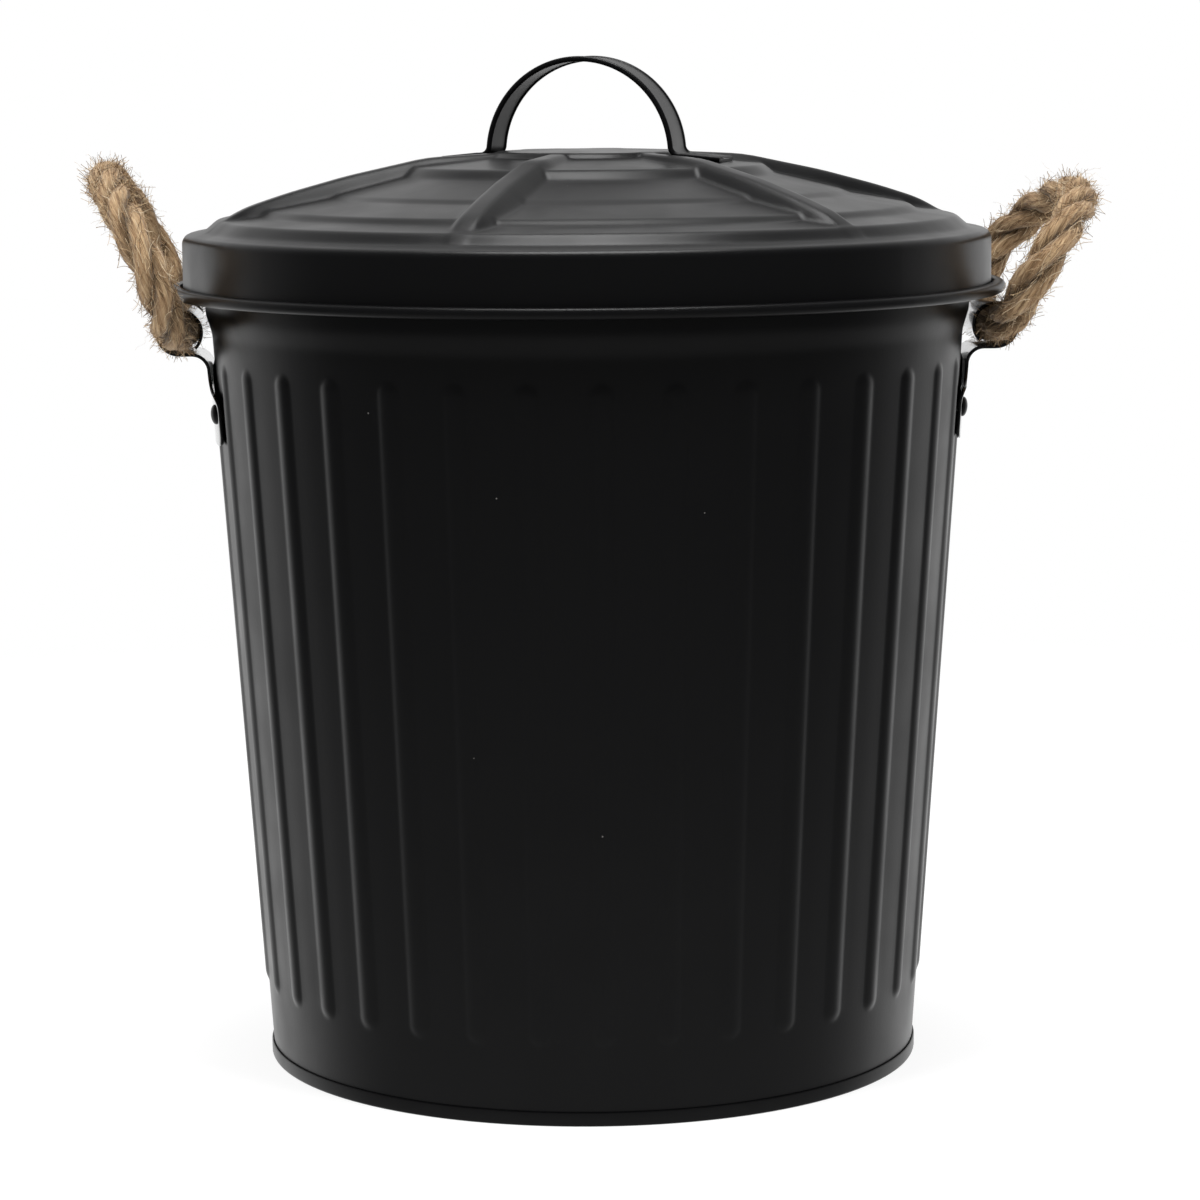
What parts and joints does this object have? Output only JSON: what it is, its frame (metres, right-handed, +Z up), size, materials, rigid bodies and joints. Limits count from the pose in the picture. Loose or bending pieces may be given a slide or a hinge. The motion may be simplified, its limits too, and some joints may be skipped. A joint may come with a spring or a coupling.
{
  "type": "lidded pail with rope handles",
  "caption": "Black painted fluted metal pail with a slip-over stamped lid, a strap handle on the lid and a jute rope loop on each side.",
  "frame": {"origin": "centre of the base's foot, on the plane that the pail stands on", "axes": "+Z up, the rope brackets on +X and -X, the pictured side towards -Y"},
  "size_m": [0.3255, 0.27, 0.3244],
  "materials": {
    "painted_sheet": "satin black coat on thin steel sheet",
    "painted_rivet": "satin black coat on steel rivets",
    "jute_rope": "coarse natural jute, twisted and fuzzy"
  },
  "bodies": {
    "can": {"can_wall": "painted_sheet", "can_base": "painted_sheet", "left_bracket": "painted_sheet", "right_bracket": "painted_sheet", "left_bracket_rivet_front": "painted_rivet", "left_bracket_rivet_back": "painted_rivet", "right_bracket_rivet_front": "painted_rivet", "right_bracket_rivet_back": "painted_rivet"},
    "lid": {"lid_shell": "painted_sheet", "lid_handle": "painted_sheet", "lid_handle_rivet_front": "painted_rivet", "lid_handle_rivet_back": "painted_rivet"},
    "left_rope": {"left_rope_handle": "jute_rope"},
    "right_rope": {"right_rope_handle": "jute_rope"}
  },
  "joints": [
    {"name": "lid_lift", "type": "slide", "parent": "can", "child": "lid", "axis": [0, 0, 1], "range_m": [0, 0.25]},
    {"name": "left_rope_swing", "type": "hinge", "parent": "can", "child": "left_rope", "pos_m": [-0.1312, 0, 0.238], "axis": [0, -1, 0], "range_deg": [0, 138]},
    {"name": "right_rope_swing", "type": "hinge", "parent": "can", "child": "right_rope", "pos_m": [0.1312, 0, 0.238], "axis": [0, 1, 0], "range_deg": [0, 130]}
  ]
}
